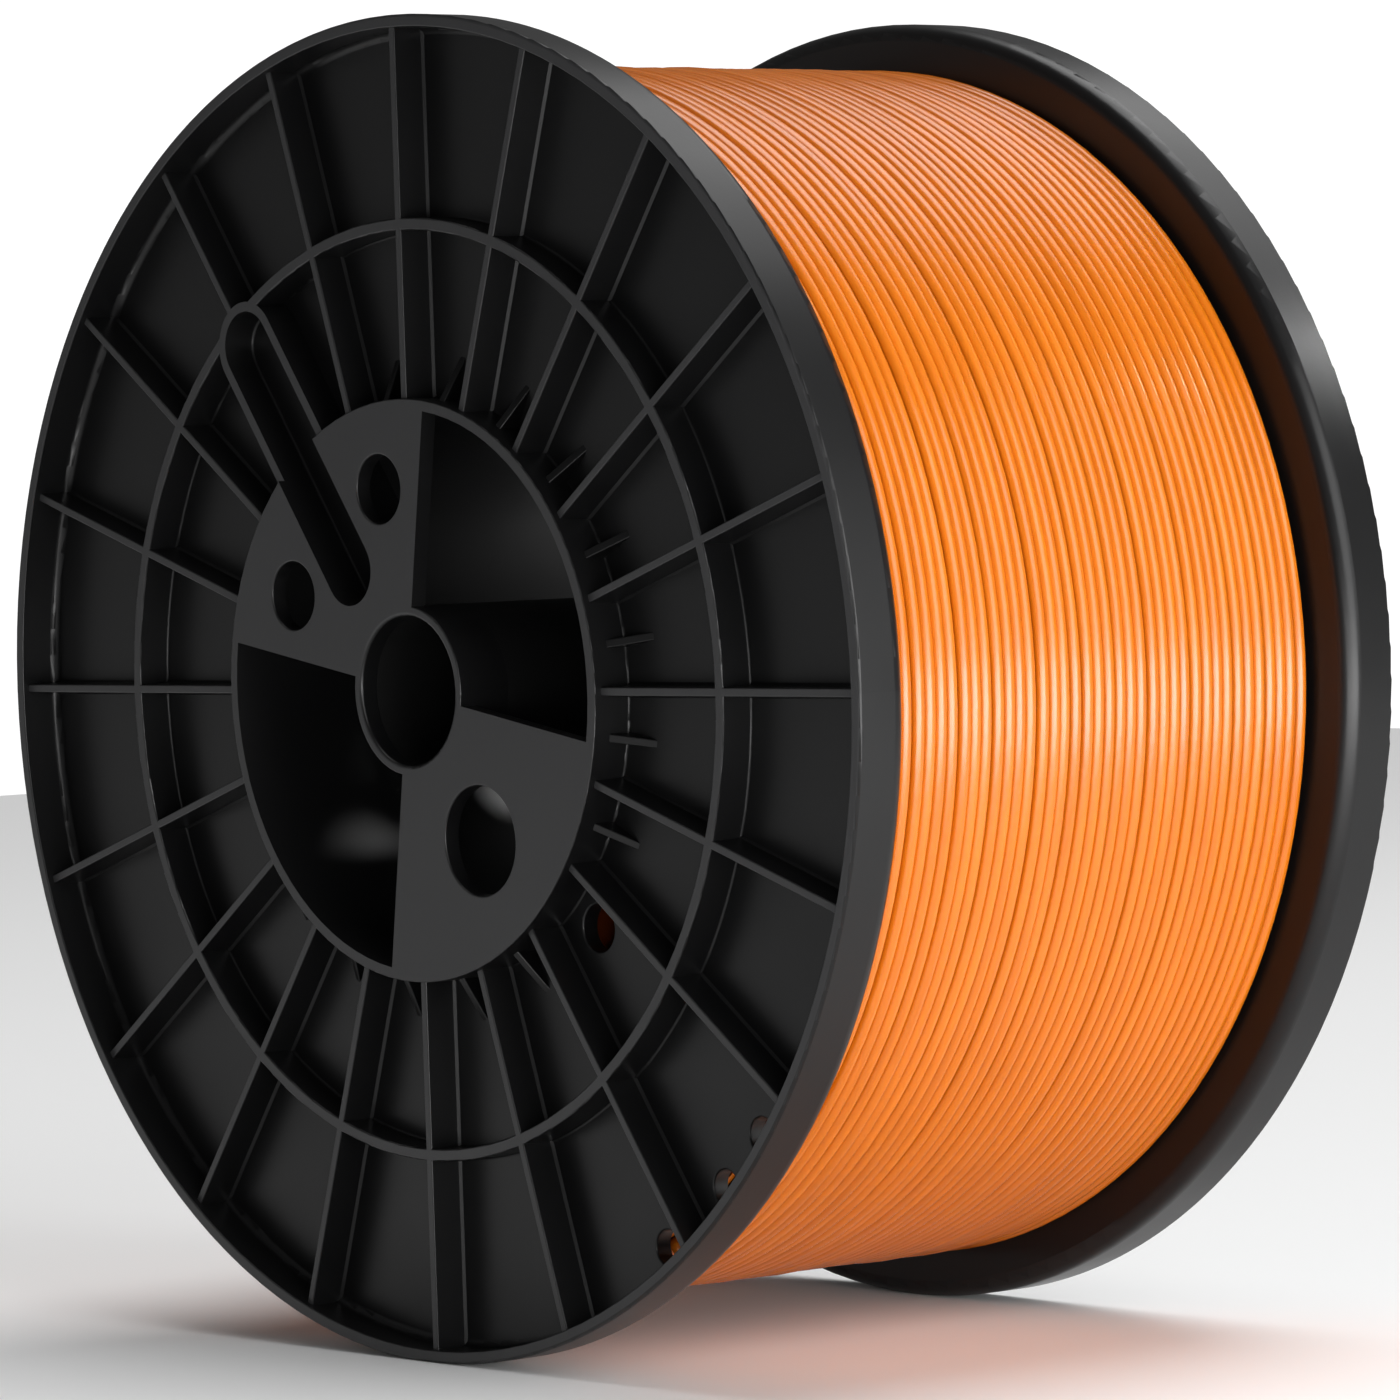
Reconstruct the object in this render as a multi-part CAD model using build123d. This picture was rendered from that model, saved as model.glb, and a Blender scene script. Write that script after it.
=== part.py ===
from build123d import *
import os
from math import asin, cos, degrees, pi, radians, sin, sqrt, tan

# A jumbo filament spool: two ribbed flanges on a winding barrel and an arbor tube, wound full.
# The spool's axis lies along Y, the front flange is at -Y, and the origin is the middle of the bore.
# Millimetres. Angles are seen from the front, counted from +X towards +Z.
# "Depth" is counted from a flange's outer face towards the middle of the spool.

# Overall
flange_diameter = 270.0
overall_width = 143.0

# Flange moulding
flange_thickness = 12.4       # outer face to winding side
floor_thickness = 3.6         # of the disc between the ribs
rib_top_depth = 1.6           # ribs and middle ring stand this much below the face
rim_wall = 2.5
rim_edge_radius = 0.6
rim_root_radius = 1.5
rim_lip_radius = 3.5          # rounded lip on the winding side
middle_ring_diameter = 189.0
middle_ring_wall = 2.4
rib_count = 20
rib_width = 1.7
rib_root_width = 2.1
root_flare = 0.5
top_edge_radius = 0.3
gusset_length = 8.7
gusset_height = 4.8           # above the floor, where a gusset leaves the hub wall

# Hub of the flange
hub_diameter = 117.0
hub_wall = 2.2
hub_plate_thickness = 3.5
hub_plate_angle = 126.0       # middle of the upper plate; the lower one is opposite
hub_plate_half_angle = 44.0
bore_diameter = 30.0
bore_edge_radius = 0.8
collar_wall = 2.0
collar_lip = 4.0              # full-thickness mouth of the collar, before the socket
pin_hole_diameter = 14.0
pin_hole_web = 1.85           # between a pin hole and the trough's wall
pin_hole_shift = 4.5          # outwards from midway between collar and hub wall
drive_hole_diameter = 22.0
hole_edge_radius = 0.4

# Trough across the upper plate
trough_width = 14.4
trough_wall = 2.0
trough_bore_gap = 5.8         # collar to the trough's inner end
trough_root_radius = 0.6

# Holes for the two ends of the filament
start_hole_diameter = 9.4
start_hole_angle = -45.0
start_hole_web = 1.7          # between the start hole and the barrel's seat
rim_hole_diameter = 7.0
rim_hole_angles = (-59.2, -49.3, -42.3)
rim_hole_height = 1.15        # hole centre above the winding's surface

# Barrel and arbor tube
barrel_wall = 3.5
barrel_seat_floor = 1.2       # left in the flange under the barrel's end
socket_wall = 0.9             # wall left round the arbor tube's end
seat_clearance = 0.1

# Filament
filament_diameter = 2.85
turn_gap = 0.15               # least, between neighbouring turns of the outer layer
winding_side_gap = 0.3        # winding to each flange
winding_margin = 9.85         # winding surface to the rim's outer surface
tail_gap = 0.1
tail_bend_radius = 8.0
tail_wrap_angle = 41.0
tail_tip_inset = 2.1          # tip below the floor of the flange
start_bend_radius = 6.0
start_run = 14.0
start_tip_inset = 3.0
start_hole_play = 0.15        # taut start of the strand to the side of its hole
start_pocket_depth = 9.0      # hollow that the start leaves in the side of the winding
strand_pocket_clearance = 0.1

# Worked out from the sizes above
flange_radius = flange_diameter / 2
floor_depth = flange_thickness - floor_thickness
rim_inner_radius = flange_radius - rim_wall
middle_ring_radius = middle_ring_diameter / 2
hub_radius = hub_diameter / 2
barrel_inner_radius = hub_radius - hub_wall
barrel_radius = barrel_inner_radius + barrel_wall
bore_radius = bore_diameter / 2
collar_radius = bore_radius + collar_wall
socket_radius = collar_radius - socket_wall
barrel_seat_depth = floor_thickness - barrel_seat_floor
winding_radius = flange_radius - winding_margin
winding_width = overall_width - 2 * flange_thickness - 2 * winding_side_gap
strand_radius = filament_diameter / 2
strand_circle_radius = winding_radius - strand_radius
turns_across = int(winding_width / (filament_diameter + turn_gap))
turn_pitch = (winding_width - filament_diameter) / (turns_across - 1)
rib_step = 360 / rib_count
rib_angles = [rib_step * k for k in range(rib_count)]
gusset_angles = [rib_step * (k + 0.5) for k in range(rib_count)]
start_hole_circle_radius = barrel_radius + start_hole_web + start_hole_diameter / 2
rim_hole_circle_radius = winding_radius + rim_hole_height
embed = 0.4                   # how far a feature runs into the wall that it grows from

flange_plane = Plane(origin=(0, -overall_width / 2, 0), x_dir=(1, 0, 0), z_dir=(0, -1, 0))


def front_depth(depth):
    """World Y of a depth below the front flange's outer face."""
    return -overall_width / 2 + depth


def nearest_vertex(sketch, point):
    return sketch.vertices().sort_by_distance(point)[0]


def spin(points, roundings):
    """Turn a closed (radius, height) outline about Z; roundings are (point, radius) pairs."""
    outline = make_face(Polyline(*points, close=True))
    for point, radius in roundings:
        outline = fillet(nearest_vertex(outline, point), radius)
    return revolve(Plane.XZ * outline, axis=Axis.Z)


def polar(radius, angle):
    return (radius * cos(radians(angle)), radius * sin(radians(angle)))


def disc_and_rings():
    """Rim, floor, middle ring and hub wall in one turned outline, outer face at height 0."""
    ring_inner = middle_ring_radius - middle_ring_wall
    seat_radius = barrel_radius + seat_clearance
    seat_depth = flange_thickness - barrel_seat_depth
    outline = [
        (barrel_inner_radius, 0),
        (hub_radius, 0),
        (hub_radius, -floor_depth),
        (ring_inner, -floor_depth),
        (ring_inner, -rib_top_depth),
        (middle_ring_radius, -rib_top_depth),
        (middle_ring_radius, -floor_depth),
        (rim_inner_radius, -floor_depth),
        (rim_inner_radius, 0),
        (flange_radius, 0),
        (flange_radius, -flange_thickness),
        (seat_radius, -flange_thickness),
        (seat_radius, -seat_depth),
        (barrel_inner_radius, -seat_depth),
    ]
    roundings = [
        (outline[1], top_edge_radius),
        (outline[2], root_flare),
        (outline[3], root_flare),
        (outline[4], top_edge_radius),
        (outline[5], top_edge_radius),
        (outline[6], root_flare),
        (outline[7], rim_root_radius),
        (outline[8], top_edge_radius),
        (outline[9], rim_edge_radius),
        (outline[10], rim_lip_radius),
    ]
    return spin(outline, roundings)


def collar():
    """Ring round the bore, with a socket for the arbor tube behind its lip."""
    outline = [
        (bore_radius, 0),
        (collar_radius, 0),
        (collar_radius, -flange_thickness),
        (socket_radius + seat_clearance, -flange_thickness),
        (socket_radius + seat_clearance, -collar_lip),
        (bore_radius, -collar_lip),
    ]
    return spin(outline, [(outline[0], bore_edge_radius), (outline[1], top_edge_radius)])


def rib():
    """One radial rib along +X, from the hub wall to the rim, with flared feet."""
    half_top = rib_width / 2
    half_root = rib_root_width / 2
    foot = floor_depth + embed / 2
    section = Polyline(
        (-half_top, -rib_top_depth),
        (half_top, -rib_top_depth),
        (half_root, root_flare - floor_depth),
        (half_root + root_flare + embed / 2, -foot),
        (-half_root - root_flare - embed / 2, -foot),
        (-half_root, root_flare - floor_depth),
        close=True,
    )
    face = make_face(section)
    for side in (-half_top, half_top):
        face = fillet(nearest_vertex(face, (side, -rib_top_depth)), top_edge_radius)
    start = hub_radius - embed
    return extrude(Plane(origin=(start, 0, 0), x_dir=(0, 1, 0), z_dir=(1, 0, 0)) * face,
                   rim_inner_radius + embed - start)


def gusset():
    """One short gusset along +X, its top sloping from the hub wall down to the floor."""
    slope = gusset_height / gusset_length
    inner = hub_radius - embed
    outer = hub_radius + gusset_length + embed
    side = Polyline(
        (inner, gusset_height - floor_depth + embed * slope),
        (outer, -floor_depth - embed * slope),
        (inner, -floor_depth - embed * slope),
        close=True,
    )
    blade = extrude(Plane.XZ * make_face(side), rib_width / 2, both=True)
    top = blade.faces().sort_by(lambda face: face.normal_at().Z)[-1]
    return fillet(top.edges().filter_by(Axis.Y, reverse=True), top_edge_radius)


def gusset_fits(angle):
    """No gusset where the trough leaves the hub, nor at the start hole."""
    from_trough = abs(sin(radians(angle - hub_plate_angle))) * hub_radius
    beside_trough = cos(radians(angle - hub_plate_angle)) > 0
    near_trough = beside_trough and from_trough < trough_width / 2 + trough_wall + rib_width
    from_start = 2 * start_hole_circle_radius * abs(sin(radians(angle - start_hole_angle) / 2))
    near_start = from_start < (start_hole_diameter + rib_width) / 2
    return not near_trough and not near_start


def hub_plates():
    """Two solid quadrants that join the collar to the hub wall; open windows lie between them."""
    inner = collar_radius - embed
    outer = barrel_inner_radius + embed
    reach = 2 * outer
    plates = []
    for middle in (hub_plate_angle, hub_plate_angle + 180):
        wedge = make_face(Polyline(
            (0, 0),
            polar(reach, middle - hub_plate_half_angle),
            polar(reach, middle + hub_plate_half_angle),
            close=True,
        ))
        plates.append(extrude((Circle(outer) - Circle(inner)) & wedge, -hub_plate_thickness))
    return plates


def trough_outline(margin):
    """Round-ended slot along the upper plate's middle, grown by a margin."""
    inner_end = collar_radius + trough_bore_gap
    middle = (inner_end + middle_ring_radius) / 2
    straight = middle_ring_radius - inner_end - trough_width
    slot = SlotCenterToCenter(straight, trough_width + 2 * margin, rotation=hub_plate_angle)
    return Pos(*polar(middle, hub_plate_angle)) * slot


def trough_body():
    """Walls and floor of the trough, at rib height outside the hub and below the plate inside it."""
    body = extrude(Pos(0, 0, -flange_thickness) * trough_outline(trough_wall),
                   flange_thickness - rib_top_depth)
    seat = extrude(Circle(barrel_radius + seat_clearance)
                   - Circle(barrel_inner_radius - seat_clearance), barrel_seat_depth)
    return body - Pos(0, 0, -flange_thickness) * seat


def trough_pocket():
    """What is taken out to open the trough, with a rounded floor edge."""
    pocket = extrude(Pos(0, 0, -floor_depth) * trough_outline(0), floor_depth + embed)
    return fillet(pocket.edges().group_by(Axis.Z)[0], trough_root_radius)


def eased_hole(diameter, start_depth, end_depth):
    """Cutter for a round hole whose outer edge is eased."""
    radius = diameter / 2
    mouth = radius + hole_edge_radius + embed
    outline = [
        (0, embed - start_depth),
        (mouth, embed - start_depth),
        (mouth, -start_depth),
        (radius, -start_depth),
        (radius, -end_depth - embed),
        (0, -end_depth - embed),
    ]
    return spin(outline, [(outline[3], hole_edge_radius)])


def flange_holes():
    """Cutters for the two pin holes, the drive hole, the start hole and the rim holes."""
    plate_middle = (collar_radius + barrel_inner_radius) / 2
    pin_circle = plate_middle + pin_hole_shift
    beside_trough = trough_width / 2 + trough_wall + pin_hole_web + pin_hole_diameter / 2
    pin_spread = degrees(asin(beside_trough / pin_circle))
    plate_hole = (0, hub_plate_thickness)
    floor_hole = (floor_depth, flange_thickness)
    holes = [
        (pin_hole_diameter, pin_circle, hub_plate_angle - pin_spread, plate_hole),
        (pin_hole_diameter, pin_circle, hub_plate_angle + pin_spread, plate_hole),
        (drive_hole_diameter, plate_middle, hub_plate_angle + 180, plate_hole),
        (start_hole_diameter, start_hole_circle_radius, start_hole_angle, floor_hole),
    ]
    holes += [(rim_hole_diameter, rim_hole_circle_radius, angle, floor_hole)
              for angle in rim_hole_angles]
    return [Pos(*polar(circle, angle)) * eased_hole(diameter, *depths)
            for diameter, circle, angle, depths in holes]


def flange_moulding():
    """One flange, outer face at height 0 and facing +Z."""
    one_rib = rib()
    one_gusset = gusset()
    features = [collar(), trough_body(), *hub_plates()]
    features += [one_rib.rotate(Axis.Z, angle) for angle in rib_angles]
    features += [one_gusset.rotate(Axis.Z, angle) for angle in gusset_angles if gusset_fits(angle)]
    return disc_and_rings() + features - trough_pocket() - flange_holes()


def winding_barrel():
    """Tube that carries the winding; its ends sit in a seat in each flange."""
    length = overall_width - 2 * (flange_thickness - barrel_seat_depth)
    ring = Circle(barrel_radius) - Circle(barrel_inner_radius)
    return extrude(Plane.XZ * ring, length / 2, both=True)


def arbor_tube():
    """Tube through the middle; its stepped ends go into the collars' sockets."""
    half_length = overall_width / 2 - collar_lip - seat_clearance
    half_shoulder = overall_width / 2 - flange_thickness
    outline = [
        (bore_radius, -half_length),
        (socket_radius, -half_length),
        (socket_radius, -half_shoulder),
        (collar_radius, -half_shoulder),
        (collar_radius, half_shoulder),
        (socket_radius, half_shoulder),
        (socket_radius, half_length),
        (bore_radius, half_length),
    ]
    return spin(outline, []).rotate(Axis.X, 90)


def strand(path, radius):
    """Round strand along a path of straight runs and tangent arcs."""
    return sweep(Plane(origin=path @ 0, z_dir=path % 0) * Circle(radius), path=path)


def start_path():
    """From the start hole in to the first turns, bending round the way the filament is wound."""
    along_x, along_z = polar(1, start_hole_angle)
    tangent = Vector(-along_z, 0, along_x)
    lean = (start_hole_diameter - filament_diameter) / 2 - start_hole_play
    hole = Vector(along_x, 0, along_z) * start_hole_circle_radius + tangent * lean
    corner = front_depth(flange_thickness) + winding_side_gap + start_bend_radius + strand_radius
    return FilletPolyline(
        hole + Vector(0, front_depth(floor_depth + start_tip_inset), 0),
        hole + Vector(0, corner, 0),
        hole + Vector(0, corner, 0) + tangent * (start_bend_radius + start_run),
        radius=start_bend_radius,
    )


def tail_path():
    """Over the last turns, round into line with the first rim hole, and into the hole."""
    wrap_radius = winding_radius + strand_radius + tail_gap
    hole_radius = sqrt(wrap_radius ** 2 + tail_bend_radius ** 2)
    hole_angle = rim_hole_angles[0]
    bend_angle = hole_angle - degrees(asin(tail_bend_radius / hole_radius))
    wrap_y = front_depth(flange_thickness) + tail_bend_radius + strand_radius

    def ring_point(angle):
        along_x, along_z = polar(wrap_radius, angle)
        return Vector(along_x, wrap_y, along_z)

    wrap = ThreePointArc(
        ring_point(hole_angle - tail_wrap_angle),
        ring_point((hole_angle - tail_wrap_angle + bend_angle) / 2),
        ring_point(bend_angle),
    )
    forward = wrap % 1
    outward = Vector(0, -1, 0)
    half_way = radians(45)
    bend_start = wrap @ 1
    bend = ThreePointArc(
        bend_start,
        bend_start + (forward * sin(half_way) + outward * (1 - cos(half_way))) * tail_bend_radius,
        bend_start + (forward + outward) * tail_bend_radius,
    )
    bend_end = bend @ 1
    tip_y = front_depth(floor_depth + tail_tip_inset)
    tip = Line(bend_end, Vector(bend_end.X, tip_y, bend_end.Z))
    return Wire([wrap.edge(), bend.edge(), tip.edge()])


def filament_inner_layers(start_route):
    """All the turns under the outer layer, as one ring, with room for the start of the strand."""
    ring = Circle(winding_radius - filament_diameter) - Circle(barrel_radius)
    layers = extrude(Plane.XZ * ring, winding_width / 2, both=True)
    start_x, start_z = polar(start_hole_circle_radius, start_hole_angle)
    side = Plane(origin=(start_x, -winding_width / 2, start_z), z_dir=(0, 1, 0))
    pocket = extrude(side * Circle(start_hole_diameter / 2), start_pocket_depth)
    return layers - pocket - strand(start_route, strand_radius + strand_pocket_clearance)


def filament_outer_layer():
    """The turns that show, side by side as eight-sided beads, joined along their inner half."""
    half_width = winding_width / 2
    bottom = winding_radius - filament_diameter
    half_flat = strand_radius * tan(pi / 8)
    outline = [(bottom, half_width), (bottom, -half_width)]
    for turn in range(turns_across):
        left = turn * turn_pitch - half_width
        right = left + filament_diameter
        outline += [
            (strand_circle_radius, left),
            (strand_circle_radius + half_flat, left),
            (winding_radius, left + strand_radius - half_flat),
            (winding_radius, right - strand_radius + half_flat),
            (strand_circle_radius + half_flat, right),
            (strand_circle_radius, right),
        ]
    return spin(outline, []).rotate(Axis.X, 90)


def spool():
    """Every piece in its place; the rear flange is turned round about the middle line of the windows."""
    front_flange = flange_plane * flange_moulding()
    flip_x, flip_z = polar(1, hub_plate_angle + 90)
    start_route = start_path()
    return {
        "front_flange": front_flange,
        "rear_flange": front_flange.rotate(Axis((0, 0, 0), (flip_x, 0, flip_z)), 180),
        "winding_barrel": winding_barrel(),
        "arbor_tube": arbor_tube(),
        "filament_inner_layers": filament_inner_layers(start_route),
        "filament_outer_layer": filament_outer_layer(),
        "filament_start_end": strand(start_route, strand_radius),
        "filament_tail_end": strand(tail_path(), strand_radius),
    }


os.makedirs("parts", exist_ok=True)
for name, piece in spool().items():
    piece.label = name
    export_step(piece, f"parts/{name}.step")
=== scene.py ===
import bpy
import bmesh
from math import asin, atan2, cos, pi, radians, sin
from mathutils import Euler, Matrix, Vector, noise


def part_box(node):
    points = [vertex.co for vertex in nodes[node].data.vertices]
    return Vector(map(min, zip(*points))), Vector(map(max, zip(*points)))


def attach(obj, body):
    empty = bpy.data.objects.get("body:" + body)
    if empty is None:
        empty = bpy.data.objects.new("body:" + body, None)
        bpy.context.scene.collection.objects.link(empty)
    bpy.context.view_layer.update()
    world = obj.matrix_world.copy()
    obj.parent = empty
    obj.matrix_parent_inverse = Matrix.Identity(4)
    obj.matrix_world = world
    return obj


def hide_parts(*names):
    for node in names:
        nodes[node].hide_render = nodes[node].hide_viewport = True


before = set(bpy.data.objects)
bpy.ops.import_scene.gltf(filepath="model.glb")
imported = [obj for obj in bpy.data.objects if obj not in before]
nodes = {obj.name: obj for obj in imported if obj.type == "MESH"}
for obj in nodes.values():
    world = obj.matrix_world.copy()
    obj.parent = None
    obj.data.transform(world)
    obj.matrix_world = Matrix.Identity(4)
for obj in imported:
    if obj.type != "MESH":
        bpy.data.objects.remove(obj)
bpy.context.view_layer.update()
scene = bpy.context.scene
print("frame loaded:", len(nodes), "CAD nodes")

# The spool's axis lies along Y, its front flange is at -Y, and the origin is the middle of the bore.
flangeLow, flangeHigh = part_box("front_flange")
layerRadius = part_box("filament_outer_layer")[1].x
frontWall = flangeHigh.y      # winding side of the front flange
mm = 0.001


# ---- node helpers

def newMaterial(name):
    material = bpy.data.materials.new(name)
    material.use_nodes = True
    tree = material.node_tree
    return material, tree, tree.nodes["Principled BSDF"]


def addNode(tree, kind, **values):
    node = tree.nodes.new(kind)
    for name, value in values.items():
        setattr(node, name, value)
    return node


def mathNode(tree, operation, first, second=None):
    node = addNode(tree, "ShaderNodeMath", operation=operation)
    for socket, value in zip(node.inputs, (first, second)):
        if hasattr(value, "node"):
            tree.links.new(value, socket)
        elif value is not None:
            socket.default_value = value
    return node.outputs[0]


def noiseNode(tree, vector, scale, detail, roughness=0.5):
    node = addNode(tree, "ShaderNodeTexNoise")
    tree.links.new(vector, node.inputs["Vector"])
    node.inputs["Scale"].default_value = scale
    node.inputs["Detail"].default_value = detail
    node.inputs["Roughness"].default_value = roughness
    return node.outputs["Fac"]


def rangeNode(tree, value, fromLow, fromHigh, toLow, toHigh):
    node = addNode(tree, "ShaderNodeMapRange")
    tree.links.new(value, node.inputs["Value"])
    ends = {"From Min": fromLow, "From Max": fromHigh, "To Min": toLow, "To Max": toHigh}
    for name, number in ends.items():
        node.inputs[name].default_value = number
    return node.outputs["Result"]


def mixColors(tree, factor, first, second):
    node = addNode(tree, "ShaderNodeMix", data_type="RGBA")
    colorSockets = [socket for socket in node.inputs if socket.type == "RGBA"]
    tree.links.new(factor, node.inputs["Factor"])
    for socket, value in zip(colorSockets, (first, second)):
        if hasattr(value, "node"):
            tree.links.new(value, socket)
        else:
            socket.default_value = (*value, 1)
    return [socket for socket in node.outputs if socket.type == "RGBA"][0]


def bumpNode(tree, height, distance, strength):
    node = addNode(tree, "ShaderNodeBump")
    tree.links.new(height, node.inputs["Height"])
    node.inputs["Distance"].default_value = distance
    node.inputs["Strength"].default_value = strength
    return node.outputs["Normal"]


# ---- finishes

noiseSpan = (0.3, 0.7)           # most values of a noise node lie between these

flangePlastic = {
    "color": (0.0035, 0.0035, 0.0037),
    "roughness": (0.30, 0.40),
    "paintedFaceLight": (0.030, 0.030, 0.031),      # painted highlight: lighter ends of the ribs, rings and plates, standing in for the light they catch
    "faceDepth": (2.2 * mm, 3.0 * mm),       # below the flange's outer face, where the painted highlight ends; deeper surfaces keep the darker colour as painted shade
    "faceTilt": (0.75, 0.95),                # share of a surface's facing that is along the axis
    "gloss": 0.36,
    "cloudScale": 22,
    "cloudDetail": 3,
    "grainScale": 900,
    "grainDetail": 4,
    "grainRoughness": 0.6,
    "grainDepth": 0.03 * mm,
    "grainStrength": 0.3,
}
tubePlastic = {
    "color": (0.006, 0.006, 0.006),
    "roughness": (0.32, 0.42),
    "gloss": 0.36,
    "cloudScale": 14,
    "cloudDetail": 3,
    "grainScale": 500,
    "grainDetail": 4,
    "grainRoughness": 0.6,
    "grainDepth": 0.02 * mm,
    "grainStrength": 0.2,
}


def paintedFaceLightColor(tree, place, settings):
    # painted light and shade: lighter where a surface lies near a flange's outer face and looks along the
    # spool's axis, darker in the recesses
    split = addNode(tree, "ShaderNodeSeparateXYZ")
    tree.links.new(place, split.inputs["Vector"])
    depth = mathNode(tree, "SUBTRACT", -flangeLow.y, mathNode(tree, "ABSOLUTE", split.outputs["Y"]))
    near = rangeNode(tree, depth, *settings["faceDepth"], 1, 0)
    tilt = addNode(tree, "ShaderNodeSeparateXYZ")
    tree.links.new(addNode(tree, "ShaderNodeTexCoord").outputs["Normal"], tilt.inputs["Vector"])
    along = rangeNode(tree, mathNode(tree, "ABSOLUTE", tilt.outputs["Y"]), *settings["faceTilt"], 0, 1)
    faceLightShare = mathNode(tree, "MULTIPLY", near, along)
    return mixColors(tree, faceLightShare, settings["color"], settings["paintedFaceLight"])


def blackPlastic(name, settings):
    material, tree, shader = newMaterial(name)
    place = addNode(tree, "ShaderNodeTexCoord").outputs["Object"]
    cloud = noiseNode(tree, place, settings["cloudScale"], settings["cloudDetail"])
    rough = rangeNode(tree, cloud, *noiseSpan, *settings["roughness"])
    tree.links.new(rough, shader.inputs["Roughness"])
    grain = noiseNode(tree, place, settings["grainScale"], settings["grainDetail"],
                      settings["grainRoughness"])
    normal = bumpNode(tree, grain, settings["grainDepth"], settings["grainStrength"])
    tree.links.new(normal, shader.inputs["Normal"])
    shader.inputs["Specular IOR Level"].default_value = settings["gloss"]
    # the flange moulding gets painted highlights on its outer faces and painted shade in its recesses
    if "paintedFaceLight" in settings:
        tree.links.new(paintedFaceLightColor(tree, place, settings), shader.inputs["Base Color"])
    else:
        shader.inputs["Base Color"].default_value = (*settings["color"], 1)
    return material


filamentPlastic = {
    "deep": (0.52, 0.126, 0.003),
    "bright": (0.62, 0.160, 0.005),
    "roughness": (0.20, 0.27),
    "gloss": 0.62,
    "toneScale": (2.5, 360, 0),           # round the spool, along its axis, outwards
    "toneDetail": 2,
    "streakScale": (32, 9000, 9000),
    "streakDetail": 3,
    "streakDepth": 0.02 * mm,
    "streakStrength": 0.2,
    "glow": 0.1,
    "glowRadius": (1.0, 0.35, 0.05),
    "glowScale": 0.9 * mm,
}
# a darker copy of the filament finish: painted shade on the strands deep in the pack
paintedShadeFilament = {
    **filamentPlastic,
    "deep": (0.040, 0.006, 0.001),
    "bright": (0.055, 0.009, 0.001),
    "gloss": 0.3,
}


def scaledPlace(tree, parts, scales):
    node = addNode(tree, "ShaderNodeCombineXYZ")
    for socket, value, scale in zip(node.inputs, parts, scales):
        tree.links.new(mathNode(tree, "MULTIPLY", value, scale), socket)
    return node.outputs["Vector"]


def orangePlastic(name, settings):
    material, tree, shader = newMaterial(name)
    place = addNode(tree, "ShaderNodeTexCoord").outputs["Object"]
    split = addNode(tree, "ShaderNodeSeparateXYZ")
    tree.links.new(place, split.inputs["Vector"])
    x, y, z = (split.outputs[axis] for axis in "XYZ")
    angle = mathNode(tree, "ARCTAN2", z, x)
    squares = mathNode(tree, "ADD", mathNode(tree, "MULTIPLY", x, x), mathNode(tree, "MULTIPLY", z, z))
    outwards = mathNode(tree, "SQRT", squares)
    # tone and streaks follow the strand round the spool
    around = (angle, y, outwards)
    tonePlace = scaledPlace(tree, around, settings["toneScale"])
    tone = noiseNode(tree, tonePlace, 1, settings["toneDetail"])
    streakPlace = scaledPlace(tree, around, settings["streakScale"])
    streaks = noiseNode(tree, streakPlace, 1, settings["streakDetail"])
    color = mixColors(tree, rangeNode(tree, tone, *noiseSpan, 0, 1), settings["deep"], settings["bright"])
    tree.links.new(color, shader.inputs["Base Color"])
    rough = rangeNode(tree, tone, *noiseSpan, *settings["roughness"])
    tree.links.new(rough, shader.inputs["Roughness"])
    normal = bumpNode(tree, streaks, settings["streakDepth"], settings["streakStrength"])
    tree.links.new(normal, shader.inputs["Normal"])
    shader.inputs["Specular IOR Level"].default_value = settings["gloss"]
    shader.inputs["Subsurface Weight"].default_value = settings["glow"]
    shader.inputs["Subsurface Radius"].default_value = settings["glowRadius"]
    shader.inputs["Subsurface Scale"].default_value = settings["glowScale"]
    return material


satinBlackMoulding = blackPlastic("satinBlackMoulding", flangePlastic)
satinBlackTube = blackPlastic("satinBlackTube", tubePlastic)
glossyOrangeFilament = orangePlastic("glossyOrangeFilament", filamentPlastic)
paintedShadeOrangeFilament = orangePlastic("paintedShadeOrangeFilament", paintedShadeFilament)
nodeFinishes = {
    "front_flange": satinBlackMoulding,
    "rear_flange": satinBlackMoulding,
    "winding_barrel": satinBlackMoulding,
    "arbor_tube": satinBlackTube,
    "filament_inner_layers": paintedShadeOrangeFilament,      # seen only deep in grooves and holes; painted shade, a darker copy of the orange
    "filament_start_end": glossyOrangeFilament,
}
for nodeName, finish in nodeFinishes.items():
    nodes[nodeName].data.materials.clear()
    nodes[nodeName].data.materials.append(finish)
print("finishes made and put on the CAD nodes")


def meshPiece(name, bm, finish):
    mesh = bpy.data.meshes.new(name)
    bm.to_mesh(mesh)
    bm.free()
    for polygon in mesh.polygons:
        polygon.use_smooth = True
    mesh.materials.append(finish)
    piece = bpy.data.objects.new(name, mesh)
    scene.collection.objects.link(piece)
    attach(piece, "root")
    return piece


# ---- the strand, as it was wound

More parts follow.
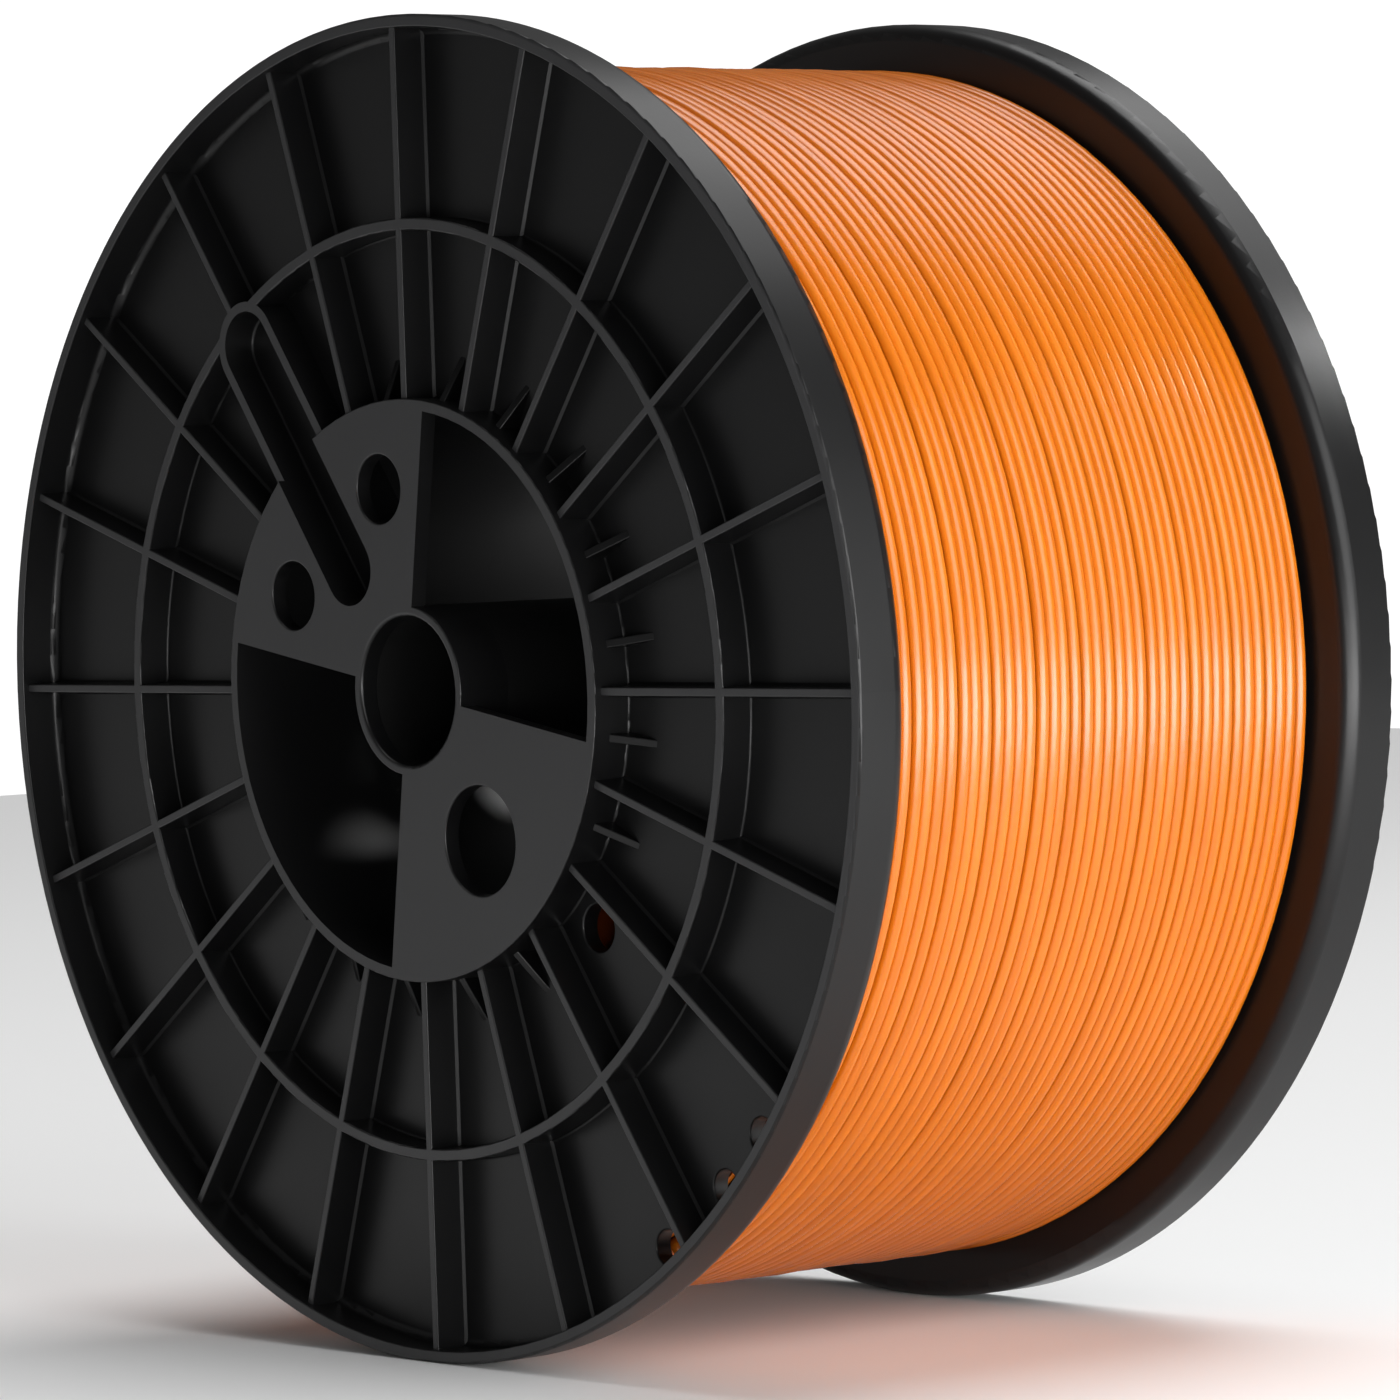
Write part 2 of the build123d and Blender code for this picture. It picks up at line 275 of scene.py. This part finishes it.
strand = {
    "radius": 1.425 * mm,
    "wallGap": 0.12 * mm,        # first and last turn to the flanges
    "turns": 39,
    "endAngle": -134,            # where the last turn leaves its layer
}
lastTurns = {"drop": 0, "sides": 12, "segments": 128, "hand": 1, "seed": 2.5}
turnsBeneath = {"drop": 2.5 * mm, "sides": 8, "segments": 96, "hand": -1, "seed": 7.5}
slack = {
    "lift": 0.32 * mm,           # turns ride a little above or below each other
    "liftRate": 1.7,
    "sway": 0.12 * mm,           # and a little to the side
    "swayRate": 1.3,
    "fineShare": 0.35,           # of a finer ripple on the ripple
    "fineRate": 4,
    "groupTurns": 3.6,           # turns lie in groups with a wider gap between them
    "groupDrift": 0.4,           # share of a group by which the groups' places wander
    "driftTurns": 8,
    "groupShift": 0.46 * mm,
    "groupStep": 0.05,           # share of a group over which the strand steps across
}


def smoothShare(share):
    share = max(0, min(1, share))
    return share * share * (3 - 2 * share)


def groupOffset(position):
    # falls slowly from 0.5 to -0.5 through a group, then steps back
    share = position % 1
    hold = 1 - slack["groupStep"]
    if share < hold:
        return 0.5 - share / hold
    return smoothShare((share - hold) / slack["groupStep"]) - 0.5


def ripple(turn, seed, rate):
    coarse = noise.noise(Vector((turn * rate, seed, rate)))
    fine = noise.noise(Vector((turn * rate * slack["fineRate"], seed, -rate)))
    return coarse + slack["fineShare"] * fine


def turnSlack(turn, seed):
    # how far a point of the strand lies outwards and along the axis from its place in an even helix
    ends = max(0, min(1, turn, strand["turns"] - turn))      # none at the layer's two ends
    drift = slack["groupDrift"] * noise.noise(Vector((turn / slack["driftTurns"], seed, 0)))
    group = groupOffset(turn / slack["groupTurns"] + drift)
    lift = ripple(turn, seed, slack["liftRate"]) * slack["lift"]
    sway = ripple(turn, seed, slack["swayRate"]) * slack["sway"] + group * slack["groupShift"]
    return lift * ends, sway * ends


outerCircle = layerRadius - strand["radius"]
firstY = frontWall + strand["radius"] + strand["wallGap"]
weldDistance = 0.001 * mm


def woundLayer(name, layer):
    hand, segments, sides = layer["hand"], layer["segments"], layer["sides"]
    circleRadius = outerCircle - layer["drop"]
    pitch = -2 * firstY / strand["turns"]
    bm = bmesh.new()
    ring = bmesh.ops.create_circle(bm, cap_ends=False, segments=sides, radius=strand["radius"])
    bmesh.ops.translate(bm, verts=ring["verts"], vec=(circleRadius, firstY, 0))
    bmesh.ops.spin(bm, geom=bm.verts[:] + bm.edges[:], cent=(0, 0, 0), axis=(0, hand, 0),
                   dvec=(0, pitch / segments, 0), angle=2 * pi, steps=segments, use_merge=False)
    oneTurn = bm.verts[:] + bm.edges[:] + bm.faces[:]
    for turn in range(1, strand["turns"]):
        copy = bmesh.ops.duplicate(bm, geom=oneTurn)["geom"]
        copied = [item for item in copy if isinstance(item, bmesh.types.BMVert)]
        bmesh.ops.translate(bm, verts=copied, vec=(0, turn * pitch, 0))
    bmesh.ops.remove_doubles(bm, verts=bm.verts, dist=weldDistance)
    for vert in bm.verts:
        share = (atan2(-hand * vert.co.z, vert.co.x) / (2 * pi)) % 1
        turn = round((vert.co.y - firstY) / pitch - share) + share
        lift, sway = turnSlack(turn, layer["seed"])
        vert.co += Vector((vert.co.x, 0, vert.co.z)).normalized() * lift
        vert.co.y += sway
    bmesh.ops.holes_fill(bm, edges=[edge for edge in bm.edges if edge.is_boundary], sides=sides)
    bmesh.ops.rotate(bm, verts=bm.verts, cent=(0, 0, 0),
                     matrix=Matrix.Rotation(-radians(strand["endAngle"]), 3, "Y"))
    bmesh.ops.recalc_face_normals(bm, faces=bm.faces)
    return meshPiece(name, bm, glossyOrangeFilament)


def joinedTube(route, radius, sides):
    # round tube along a list of points, with closed ends
    bm = bmesh.new()
    bmesh.ops.create_circle(bm, cap_ends=False, segments=sides, radius=radius)
    edges = bm.edges[:]
    verts = bm.verts[:]
    facing = Vector((0, 0, 1))
    start = (route[1] - route[0]).normalized()
    bmesh.ops.rotate(bm, verts=verts, cent=(0, 0, 0), matrix=facing.rotation_difference(start).to_matrix())
    bmesh.ops.translate(bm, verts=verts, vec=route[0])
    facing = start
    for index in range(1, len(route)):
        grown = bmesh.ops.extrude_edge_only(bm, edges=edges)["geom"]
        verts = [item for item in grown if isinstance(item, bmesh.types.BMVert)]
        edges = [item for item in grown if isinstance(item, bmesh.types.BMEdge)]
        edges = [edge for edge in edges if edge.verts[0] in verts and edge.verts[1] in verts]
        bmesh.ops.translate(bm, verts=verts, vec=route[index] - route[index - 1])
        after = route[min(index + 1, len(route) - 1)]
        ahead = (after - route[index - 1]).normalized()
        bend = facing.rotation_difference(ahead).to_matrix()
        bmesh.ops.rotate(bm, verts=verts, cent=route[index], matrix=bend)
        facing = ahead
    bmesh.ops.holes_fill(bm, edges=[edge for edge in bm.edges if edge.is_boundary], sides=sides)
    bmesh.ops.recalc_face_normals(bm, faces=bm.faces)
    return bm


lastLayer = woundLayer("wound_last_layer", lastTurns)
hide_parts("filament_outer_layer")
print("last layer wound:", len(lastLayer.data.polygons), "faces")

# the layer beneath shows in the wider gaps; it was wound the other way along
layerBeneath = woundLayer("wound_layer_beneath", turnsBeneath)
print("layer beneath wound:", len(layerBeneath.data.polygons), "faces")


# ---- the tail: it leaves the last turn, crosses its neighbours and goes out through a rim hole

tail = {
    "lift": 2.95 * mm,           # rides on the last turns
    "liftShare": 0.2,            # of the wrap, until it is up there
    "crossShare": (0.06, 0.85),  # of the wrap, while it crosses its neighbours
    "bendRadius": 8 * mm,
    "tipY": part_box("filament_tail_end")[0].y,      # depth to which it is pushed into the hole
    "holeAngle": -59.2,          # of the rim hole
    "steps": 90,
    "bendSteps": 14,
    "sides": 16,
}


def tailRoute():
    wrapRadius = outerCircle + tail["lift"]
    holeAngle = radians(tail["holeAngle"])
    holeRadius = (wrapRadius ** 2 + tail["bendRadius"] ** 2) ** 0.5
    bendAngle = holeAngle - asin(tail["bendRadius"] / holeRadius)
    firstAngle = radians(strand["endAngle"])
    wrapY = frontWall + tail["bendRadius"] + strand["radius"]
    crossStart, crossEnd = tail["crossShare"]
    points = []
    for step in range(tail["steps"] + 1):
        share = step / tail["steps"]
        angle = firstAngle + (bendAngle - firstAngle) * share
        radius = outerCircle + tail["lift"] * smoothShare(share / tail["liftShare"])
        y = firstY + (wrapY - firstY) * smoothShare((share - crossStart) / (crossEnd - crossStart))
        points.append(Vector((radius * cos(angle), y, radius * sin(angle))))
    forward = Vector((-sin(bendAngle), 0, cos(bendAngle)))
    outward = Vector((0, -1, 0))
    bendStart = points[-1]
    for step in range(1, tail["bendSteps"] + 1):
        turned = step / tail["bendSteps"] * pi / 2
        offset = forward * sin(turned) + outward * (1 - cos(turned))
        points.append(bendStart + offset * tail["bendRadius"])
    points.append(Vector((points[-1].x, tail["tipY"], points[-1].z)))
    return points


tailPiece = meshPiece("wound_tail_end", joinedTube(tailRoute(), strand["radius"], tail["sides"]),
                      glossyOrangeFilament)
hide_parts("filament_tail_end")
print("tail laid:", len(tailPiece.data.polygons), "faces")


# ---- floor, light and camera

stage = {
    "floorSize": 4.4,
    "floorColor": (0.92, 0.92, 0.92),
    "floorShade": 0.99,          # of that colour, in the darker patches
    "floorRoughness": 0.9,
    "patchScale": 3,
    "patchDetail": 2,
    "world": (1, 1, 1),
    "worldStrength": 0.10,       # what lights the spool
    "backdrop": 1.1,             # what is seen behind it
}


def makeStage():
    bm = bmesh.new()
    bmesh.ops.create_grid(bm, x_segments=2, y_segments=2, size=stage["floorSize"] / 2)
    bmesh.ops.translate(bm, verts=bm.verts, vec=(0, 0, flangeLow.z))
    mesh = bpy.data.meshes.new("floor")
    bm.to_mesh(mesh)
    bm.free()
    material, tree, shader = newMaterial("paleFloor")
    place = addNode(tree, "ShaderNodeTexCoord").outputs["Object"]
    patches = noiseNode(tree, place, stage["patchScale"], stage["patchDetail"])
    shade = [value * stage["floorShade"] for value in stage["floorColor"]]
    color = mixColors(tree, patches, stage["floorColor"], shade)
    tree.links.new(color, shader.inputs["Base Color"])
    shader.inputs["Roughness"].default_value = stage["floorRoughness"]
    mesh.materials.append(material)
    floor = bpy.data.objects.new("floor", mesh)
    scene.collection.objects.link(floor)
    world = bpy.data.worlds.new("studio")
    world.use_nodes = True
    tree = world.node_tree
    background = tree.nodes["Background"]
    background.inputs["Color"].default_value = (*stage["world"], 1)
    seen = addNode(tree, "ShaderNodeLightPath").outputs["Is Camera Ray"]
    strength = rangeNode(tree, seen, 0, 1, stage["worldStrength"], stage["backdrop"])
    tree.links.new(strength, background.inputs["Strength"])
    scene.world = world


sky = {"direction": (-0.11, 0.20, 0.97), "softness": 46, "strength": 1.7}
lights = {
    "right": {"place": (1.60, 0.02, 0.56), "size": (1.5, 1.4), "power": 20},
    "lowPanel": {"place": (0.66, -0.18, -0.09), "size": (0.9, 0.2), "power": 5.0},
    "rearTop": {"place": (-0.10, 1.15, 1.30), "size": (1.2, 0.7), "power": 5},
    "frontLeft": {"place": (-1.25, -1.15, 0.05), "size": (1.5, 1.4), "power": 0.6},
    "rightRear": {"place": (1.60, 1.05, 0.45), "size": (0.25, 0.9), "power": 2.2},
}
hubSpot = {"place": (0.60, 1.27, 0.90), "cone": 5, "blend": 1, "radius": 0.07, "power": 110}


def placeLight(lamp, place, aimFrom):
    # shines from its place towards the middle of the spool
    holder = bpy.data.objects.new(lamp.name, lamp)
    holder.location = place
    holder.rotation_euler = (-Vector(aimFrom)).to_track_quat("-Z", "Y").to_euler()
    scene.collection.objects.link(holder)
    return holder


def addLights():
    sun = bpy.data.lights.new("overhead", "SUN")
    sun.energy = sky["strength"]
    sun.angle = radians(sky["softness"])
    placeLight(sun, (0, 0, 0), sky["direction"])
    spot = bpy.data.lights.new("hubSpot", "SPOT")      # shines in through the rear windows
    spot.energy = hubSpot["power"]
    spot.spot_size = radians(hubSpot["cone"])
    spot.spot_blend = hubSpot["blend"]
    spot.shadow_soft_size = hubSpot["radius"]
    placeLight(spot, hubSpot["place"], hubSpot["place"])
    for name, settings in lights.items():
        lamp = bpy.data.lights.new(name, "AREA")
        lamp.shape = "RECTANGLE"
        lamp.size, lamp.size_y = settings["size"]
        lamp.energy = settings["power"]
        placeLight(lamp, settings["place"], settings["place"]).visible_camera = False


view = {
    "azimuth": 49.4,
    "elevation": 1.75,
    "roll": -1.875,
    "distance": 1.4394,
    "lens": 178.95,
    "sensorWidth": 36,
    "shift": (0.0159, -0.0179),
}


def addCamera():
    turn = radians(view["azimuth"])
    rise = radians(view["elevation"])
    back = Vector((sin(turn) * cos(rise), -cos(turn) * cos(rise), sin(rise)))
    lens = bpy.data.cameras.new("camera")
    lens.lens = view["lens"]
    lens.sensor_width = view["sensorWidth"]
    lens.shift_x, lens.shift_y = view["shift"]
    camera = bpy.data.objects.new("camera", lens)
    camera.location = back * view["distance"]
    upright = Euler((pi / 2 - rise, 0, turn)).to_matrix()
    camera.rotation_euler = (upright @ Matrix.Rotation(radians(view["roll"]), 3, "Z")).to_euler()
    scene.collection.objects.link(camera)
    scene.camera = camera


makeStage()
addLights()
addCamera()
scene.view_settings.view_transform = "Standard"
print("stage, lights and camera set")
